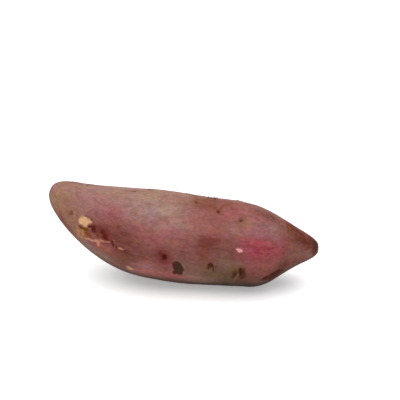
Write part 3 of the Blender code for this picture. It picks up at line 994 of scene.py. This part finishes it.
def plain_material(name, colour, other, size, roughness, glow=0.0):
    """A dry finish whose colour wanders between two, in patches of this size in metres."""
    material, tree = new_material(name)
    add = partial(add_node, tree)
    place = add("ShaderNodeTexCoord").outputs["Object"]
    patches = add("ShaderNodeTexNoise", {"Vector": place, "Scale": 1 / size, "Detail": 3.0})
    shades = {0: patches, 6: linear(colour), 7: linear(other)}
    finish = {
        "Base Color": add("ShaderNodeMix", shades, data_type="RGBA").outputs[2],
        "Roughness": roughness,
        "Emission Color": (1.0, 1.0, 1.0, 1.0),
        "Emission Strength": glow,
    }
    add("ShaderNodeOutputMaterial", {"Surface": add("ShaderNodeBsdfPrincipled", finish)})
    return material


def new_tree(name, settings):
    """Geometry nodes with these inputs, the maker of their nodes, and the given inputs."""
    tree = bpy.data.node_groups.new(name, "GeometryNodeTree")
    inputs = {"Geometry": "Geometry"} | {label: "Float" for label in settings}
    for label, kind in (inputs | {"Material": "Material"}).items():
        tree.interface.new_socket(label, in_out="INPUT", socket_type="NodeSocket" + kind)
    tree.interface.new_socket("Geometry", in_out="OUTPUT", socket_type="NodeSocketGeometry")
    return tree, partial(add_node, tree), add_node(tree, "NodeGroupInput").outputs


def close_tree(tree, geometry, material):
    """Ends the tree in plain geometry with its material."""
    real = add_node(tree, "GeometryNodeRealizeInstances", {"Geometry": geometry})
    inputs = {"Geometry": real, "Material": material}
    finished = add_node(tree, "GeometryNodeSetMaterial", inputs)
    add_node(tree, "NodeGroupOutput", {"Geometry": finished})


def grain_tree():
    """Raises fine wrinkles along the root, and small pimples between them."""
    tree, add, given = new_tree("skin grain", GRAIN)

    def maths(operation, a, b):
        return add("ShaderNodeMath", {0: a, 1: b}, operation=operation)

    def relief(vector, scale, detail, height):
        """Noise about 0, up to about half this height each way."""
        inputs = {"Vector": vector, "W": given["Seed"], "Scale": scale, "Detail": detail}
        soft = add("ShaderNodeTexNoise", inputs, noise_dimensions="4D")
        return maths("MULTIPLY", maths("SUBTRACT", soft, 0.5), given[height])

    name = {"Name": "straight"}
    straight = add("GeometryNodeInputNamedAttribute", name, data_type="FLOAT_VECTOR")
    width = given["Wrinkle width"]
    sizes = add("ShaderNodeCombineXYZ", {"X": given["Wrinkle length"], "Y": width, "Z": width})
    drawn = add("ShaderNodeVectorMath", {0: straight, 1: sizes}, operation="DIVIDE")
    wrinkles = relief(drawn, 1.0, 3.0, "Wrinkle height")
    frequency = maths("DIVIDE", 1.0, given["Pimple size"])
    pimples = relief(straight, frequency, 2.0, "Pimple height")
    lift = {0: add("GeometryNodeInputNormal"), "Scale": maths("ADD", wrinkles, pimples)}
    offset = add("ShaderNodeVectorMath", lift, operation="SCALE")
    moved = add("GeometryNodeSetPosition", {"Geometry": given["Geometry"], "Offset": offset})
    close_tree(tree, moved, given["Material"])
    return tree


def hair_tree():
    """Grows a tapered hair from each point, along its pointing, as far as its reach."""
    tree, add, given = new_tree("root hairs", HAIR_WAVES)

    def named(name, kind="FLOAT"):
        return add("GeometryNodeInputNamedAttribute", {"Name": name}, data_type=kind)

    line = add("GeometryNodeCurvePrimitiveLine", {"End": (0.0, 0.0, 1.0)})
    points = add("GeometryNodeResampleCurve", {"Curve": line, "Count": HAIR_POINTS})
    share = add("GeometryNodeSplineParameter").outputs["Factor"]
    stored = {"Geometry": points, "Name": "share", "Value": share}
    kept = add("GeometryNodeStoreNamedAttribute", stored, data_type="FLOAT", domain="POINT")
    taper = add("ShaderNodeMapRange", {"Value": share, "To Min": 1.0, "To Max": HAIR_TAPER})
    tapered = add("GeometryNodeSetCurveRadius", {"Curve": kept, "Radius": taper})
    ring = add("GeometryNodeCurvePrimitiveCircle", {"Resolution": HAIR_SIDES, "Radius": 1.0})
    tube = {"Curve": tapered, "Profile Curve": ring, "Fill Caps": True}
    pointing = {"Vector": named("pointing", "FLOAT_VECTOR")}
    thickness = named("thickness")
    sizes = {"X": thickness, "Y": thickness, "Z": named("reach")}
    rooted = {
        "Points": given["Geometry"],
        "Instance": add("GeometryNodeCurveToMesh", tube),
        "Rotation": add("FunctionNodeAlignRotationToVector", pointing, axis="Z"),
        "Scale": add("ShaderNodeCombineXYZ", sizes),
    }
    placed = add("GeometryNodeInstanceOnPoints", rooted)
    real = add("GeometryNodeRealizeInstances", {"Geometry": placed})

    # Each hair waves more and more towards its end.
    waves = {
        "Vector": add("GeometryNodeInputPosition"),
        "W": given["Seed"],
        "Scale": add("ShaderNodeMath", {0: 1.0, 1: given["Wave size"]}, operation="DIVIDE"),
        "Detail": 1.0,
    }
    wave = add("ShaderNodeTexNoise", waves, noise_dimensions="4D").outputs[1]
    centred = add("ShaderNodeVectorMath", {0: wave, 1: (0.5, 0.5, 0.5)}, operation="SUBTRACT")
    grown = {0: named("share"), 1: given["Wave height"]}
    amount = add("ShaderNodeMath", grown, operation="MULTIPLY")
    bend = add("ShaderNodeVectorMath", {0: centred, "Scale": amount}, operation="SCALE")
    bent = add("GeometryNodeSetPosition", {"Geometry": real, "Offset": bend})
    close_tree(tree, bent, given["Material"])
    return tree


def grow(piece, tree, settings):
    """Runs the tree on a piece once, and leaves the result as its plain mesh."""
    modifier = piece.modifiers.new("growth", "NODES")
    modifier.node_group = tree
    for socket in tree.interface.items_tree:
        if socket.name in settings:
            modifier[socket.identifier] = settings[socket.name]
    state = bpy.context.evaluated_depsgraph_get()
    mesh = bpy.data.meshes.new_from_object(
        piece.evaluated_get(state), preserve_all_data_layers=True, depsgraph=state
    )
    piece.modifiers.clear()
    piece.data = mesh


def new_piece(name, mesh):
    piece = bpy.data.objects.new(name, mesh)
    bpy.context.scene.collection.objects.link(piece)
    return piece


def keep_attribute(mesh, name, kind, values):
    data = mesh.attributes.new(name, kind, "POINT").data
    data.foreach_set("vector" if kind == "FLOAT_VECTOR" else "value", np.ravel(values))


def make_skin(form, eyes):
    shell = skin_grid(form, mark_reaches(form, eyes))
    points = np.array([v.co for v in shell.verts])
    outward = np.array([v.normal for v in shell.verts])
    skin = Skin(form, points, outward)
    straight = np.stack([skin.x, skin.across, skin.up], axis=1)
    for seed, (size, height) in enumerate(SWELLS):
        skin.relief += height * noise_at(straight, size, seed)
    ahead = (skin.x - RISE_PLACE[0]) / RISE_SIZE[0]
    turn = (skin.clock - RISE_PLACE[1]) / RISE_SIZE[1]
    skin.relief += RISE_HEIGHT * np.exp(-(ahead**2) - turn**2)
    # Painted shade below, and dust with painted light above, by how far the skin faces up.
    for layer, parts in FACED.items():
        shade_faced(skin, layer, parts)
    for zone in ZONES + tuple(far_zones()):
        shade_zone(skin, zone)
    for patch in PATCHES:
        open_patch(skin, patch)
    for stroke in STROKES:
        draw_stroke(skin, stroke)
    for eye in eyes:
        press_eye(skin, eye)
    for pole, scar in zip(form.poles, (STEM_SCAR, TIP_SCAR)):
        scar_end(skin, pole, *scar)
    shaped = points + outward * skin.relief[:, None]
    shaped[:, 2] = np.maximum(shaped[:, 2], 0)
    for vert, point in zip(shell.verts, shaped * MM):
        vert.co = point
    mesh = bpy.data.meshes.new("skin")
    shell.to_mesh(mesh)
    shell.free()
    mesh.shade_smooth()
    keep_attribute(mesh, "straight", "FLOAT_VECTOR", straight * MM)
    for name, values in skin.layers.items():
        keep_attribute(mesh, name, "FLOAT", values)
    piece = new_piece("skin", mesh)
    grow(piece, grain_tree(), GRAIN | {"Material": skin_material()})
    placed = np.empty(len(piece.data.vertices) * 3)
    piece.data.vertices.foreach_get("co", placed)
    placed[2::3] = np.maximum(placed[2::3], 0)
    piece.data.vertices.foreach_set("co", placed)
    piece.data.update()
    return piece


def draw_hair(draw, x, clock, spans):
    return Hair(x, clock, *(draw.uniform(*span) for span in spans))


def far_hairs(eyes):
    """Short hairs in some of the eyes on the far side."""
    draw = random.Random(FAR_HAIR_SEED)
    hairs = []
    for eye in eyes:
        if eye.clock > HAIRY_CLOCK:
            continue
        for _ in range(draw.randint(0, FAR_EYE_HAIRS)):
            hairs.append(draw_hair(draw, eye.x, eye.clock, FAR_HAIR))
    return hairs


def tuft_hairs():
    """A tuft of dry fibres on the ridge of the back."""
    draw = random.Random(TUFT_HAIR_SEED)
    hairs = []
    for _ in range(TUFT_HAIRS):
        spread = zip(TUFT_PLACE, TUFT_REACH)
        x, clock = (middle + draw.uniform(-1, 1) * reach for middle, reach in spread)
        hairs.append(draw_hair(draw, x, clock, TUFT_HAIR))
    return hairs


def tip_hairs():
    """Short fibres left where the tip was torn off."""
    draw = random.Random(TIP_HAIR_SEED)
    return [draw_hair(draw, TIP_PLACE, draw.uniform(0, 360), TIP_HAIR) for _ in range(TIP_HAIRS)]


def make_hairs(form, hairs):
    mesh = bpy.data.meshes.new("root_hairs")
    spots = [spot_at(form, hair.x, hair.clock) for hair in hairs]
    pointing = []
    for hair, spot in zip(hairs, spots):
        lean, slant = math.radians(hair.lean), math.radians(hair.slant)
        direction = spot.outward * math.cos(lean) + spot.ahead * math.sin(lean)
        pointing.append(direction * math.cos(slant) + spot.around * math.sin(slant))
    roots = [(spot.middle - spot.outward * HAIR_SINK) * MM for spot in spots]
    mesh.from_pydata(roots, [], [])
    keep_attribute(mesh, "pointing", "FLOAT_VECTOR", np.array(pointing))
    keep_attribute(mesh, "reach", "FLOAT", [(hair.length + HAIR_SINK) * MM for hair in hairs])
    keep_attribute(mesh, "thickness", "FLOAT", [hair.thickness * MM for hair in hairs])
    piece = new_piece("root_hairs", mesh)
    dry = plain_material("dry root hair", HAIR_DRY, HAIR_BROWN, size=0.0015, roughness=0.8)
    grow(piece, hair_tree(), HAIR_WAVES | {"Material": dry})
    return piece


def set_studio():
    scene = bpy.context.scene
    scene.view_settings.view_transform = "Standard"
    world = bpy.data.worlds.new("soft room")
    world.use_nodes = True
    world.node_tree.nodes["Background"].inputs["Color"].default_value = (1, 1, 1, 1)
    world.node_tree.nodes["Background"].inputs["Strength"].default_value = SKY_STRENGTH
    scene.world = world
    lamp = bpy.data.lights.new("soft lamp", "SUN")
    lamp.energy = LAMP_STRENGTH
    lamp.angle = math.radians(LAMP_ANGLE)
    light = bpy.data.objects.new("soft lamp", lamp)
    light.rotation_euler = Vector(LAMP_FROM).to_track_quat("Z", "Y").to_euler()
    scene.collection.objects.link(light)

    mesh = bpy.data.meshes.new("floor")
    half = FLOOR_SIZE / 2
    corners = [(-half, -half, 0), (half, -half, 0), (half, half, 0), (-half, half, 0)]
    mesh.from_pydata(corners, [], [(0, 1, 2, 3)])
    colours = FLOOR_COLOUR, FLOOR_COLOUR
    white = plain_material("white floor", *colours, size=0.5, roughness=0.9, glow=FLOOR_GLOW)
    mesh.materials.append(white)
    new_piece("floor", mesh)


def set_camera():
    turn, rise = math.radians(CAMERA_AZIMUTH), math.radians(CAMERA_ELEVATION)
    level = math.cos(rise)
    back = Vector((math.sin(turn) * level, -math.cos(turn) * level, math.sin(rise)))
    right = Vector((math.cos(turn), math.sin(turn), 0))
    up = back.cross(right)
    centre = PICTURE_SIZE / 2
    lens = bpy.data.cameras.new("camera")
    lens.sensor_width = SENSOR_WIDTH
    lens.lens = SENSOR_WIDTH * CAMERA_DISTANCE / (METRES_PER_PIXEL * PICTURE_SIZE)
    camera = bpy.data.objects.new("camera", lens)
    camera.location = (
        Vector((0, 0, AIM_HEIGHT))
        + back * CAMERA_DISTANCE
        - right * (AIM_PIXEL[0] - centre) * METRES_PER_PIXEL
        + up * (AIM_PIXEL[1] - centre) * METRES_PER_PIXEL
    )
    camera.rotation_euler = back.to_track_quat("Z", "Y").to_euler()
    bpy.context.scene.collection.objects.link(camera)
    bpy.context.scene.camera = camera


set_camera()
set_studio()
form, hollows = measure_form()
far_eyes = found_eyes(form, hollows)
skin = make_skin(form, EYES + tuple(far_eyes))
hairs = make_hairs(form, tuft_hairs() + far_hairs(far_eyes) + tip_hairs())
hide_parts(NODE)
for piece in (skin, hairs):
    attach(piece, "root")
